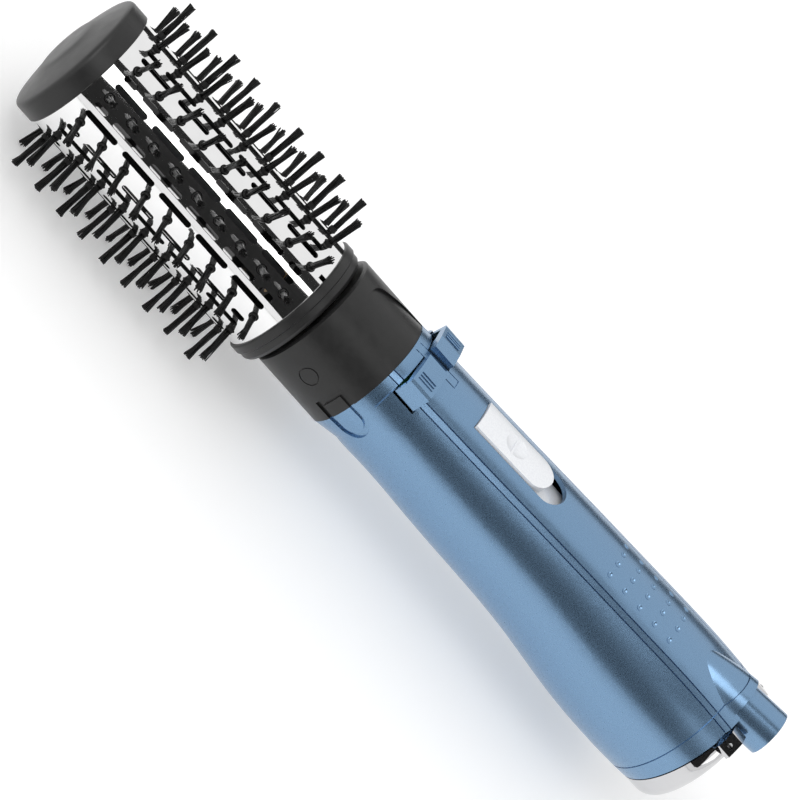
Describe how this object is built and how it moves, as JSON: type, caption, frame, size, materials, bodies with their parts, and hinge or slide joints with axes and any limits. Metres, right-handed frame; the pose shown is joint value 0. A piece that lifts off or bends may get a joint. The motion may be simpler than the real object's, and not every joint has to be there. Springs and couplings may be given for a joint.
{
  "type": "hot air brush",
  "caption": "Rotating round hot air brush: slotted mirror barrel with bristle tufts, drive neck, blower handle, direction rocker, slide switch, swinging hanging ring.",
  "frame": {"origin": "on the barrel's axis, half way along the whole tool, which is the centre of its bounding box", "axes": "+X along the tool towards the brush tip, +Z towards the switch side, +Y completes a right-handed frame"},
  "size_m": [0.3339, 0.0788, 0.0788],
  "materials": {
    "blue_shell": "metallic blue lacquer",
    "black_shell": "satin moulded plastic",
    "barrel_chrome": "mirror titanium-coated barrel",
    "ring_chrome": "mirror plated ring",
    "nylon_black": "nylon bristle filaments",
    "core_black": "heat-resistant nylon",
    "switch_silver": "pearl silver lacquer",
    "switch_black": "moulded switch body",
    "steel": "turned steel",
    "bronze": "sintered bronze bush",
    "acetal_white": "acetal gear",
    "board_green": "circuit board",
    "mica": "mica sheet",
    "heater_wire": "resistance wire",
    "filter_mesh": "woven nylon mesh",
    "cord_rubber": "strain bush"
  },
  "bodies": {
    "handle": {"neck_collar": "black_shell", "front_bulkhead": "core_black", "gearmotor_screws": "steel", "spindle": "steel", "thrust_washer": "steel", "spindle_screw": "steel", "gearmotor": "steel", "handle_top_panel": "blue_shell", "handle_lower_shell": "blue_shell", "button_pin": "steel", "button_bezel": "blue_shell", "button_board": "board_green", "direction_switches": "switch_black", "power_switch": "switch_black", "circuit_board": "board_green", "board_parts": "switch_black", "heater_sleeve": "mica", "heater_frame": "mica", "heater_coil": "heater_wire", "thermostat": "steel", "thermal_fuse": "mica", "fan_shroud": "core_black", "fan_motor": "steel", "rear_cap": "blue_shell", "rear_screws": "steel", "rear_grille": "core_black", "inlet_filter": "filter_mesh", "ring_pins": "steel"},
    "brush_head": {"barrel_tube": "barrel_chrome", "end_cap": "black_shell", "bristle_core": "core_black", "base_ring": "black_shell", "drive_hub": "core_black", "hub_bush": "bronze", "tip_bush": "bronze", "bristle_row_01": "nylon_black", "bristle_row_02": "nylon_black", "bristle_row_03": "nylon_black", "bristle_row_04": "nylon_black", "bristle_row_05": "nylon_black", "bristle_row_06": "nylon_black", "bristle_row_07": "nylon_black", "bristle_row_08": "nylon_black", "bristle_row_09": "nylon_black", "bristle_row_10": "nylon_black", "bristle_row_11": "nylon_black", "bristle_row_12": "nylon_black"},
    "pinion": {"drive_pinion": "acetal_white", "pinion_shaft": "steel"},
    "fan": {"fan_impeller": "acetal_white", "fan_shaft": "steel"},
    "rotation_rocker": {"rotation_button": "blue_shell"},
    "power_slide": {"switch_knob": "switch_silver"},
    "hanging_loop": {"hanging_ring": "ring_chrome"},
    "cord_swivel": {"cord_bush": "cord_rubber"}
  },
  "joints": [
    {"name": "barrel_spin", "type": "hinge", "parent": "handle", "child": "brush_head", "pos_m": [0.0969, 0, 0], "axis": [1, 0, 0], "continuous": true},
    {"name": "pinion_spin", "type": "hinge", "parent": "handle", "child": "pinion", "pos_m": [0.0469, 0, 0.014], "axis": [1, 0, 0], "continuous": true},
    {"name": "fan_spin", "type": "hinge", "parent": "handle", "child": "fan", "pos_m": [-0.1321, 0, 0.0025], "axis": [1, 0, 0], "continuous": true},
    {"name": "rotation_button_rock", "type": "hinge", "parent": "handle", "child": "rotation_rocker", "pos_m": [0.00725, 0, 0.0241], "axis": [1, 0, 0], "range_deg": [-6, 6], "stiffness_Nm_per_rad": 1.2},
    {"name": "power_slide_travel", "type": "slide", "parent": "handle", "child": "power_slide", "axis": [-1, 0, 0], "range_m": [0, 0.0066]},
    {"name": "hanging_loop_swing", "type": "hinge", "parent": "handle", "child": "hanging_loop", "pos_m": [-0.1563, 0, 0.027], "axis": [0, 1, 0], "range_deg": [0, 105]},
    {"name": "cord_bush_swivel", "type": "hinge", "parent": "handle", "child": "cord_swivel", "pos_m": [-0.1659, 0, 0.0301], "axis": [-0.9925, 0, 0.1219], "continuous": true}
  ],
  "couplings": [
    {"joint": "pinion_spin", "follows": "barrel_spin", "ratio": 4.3333}
  ]
}
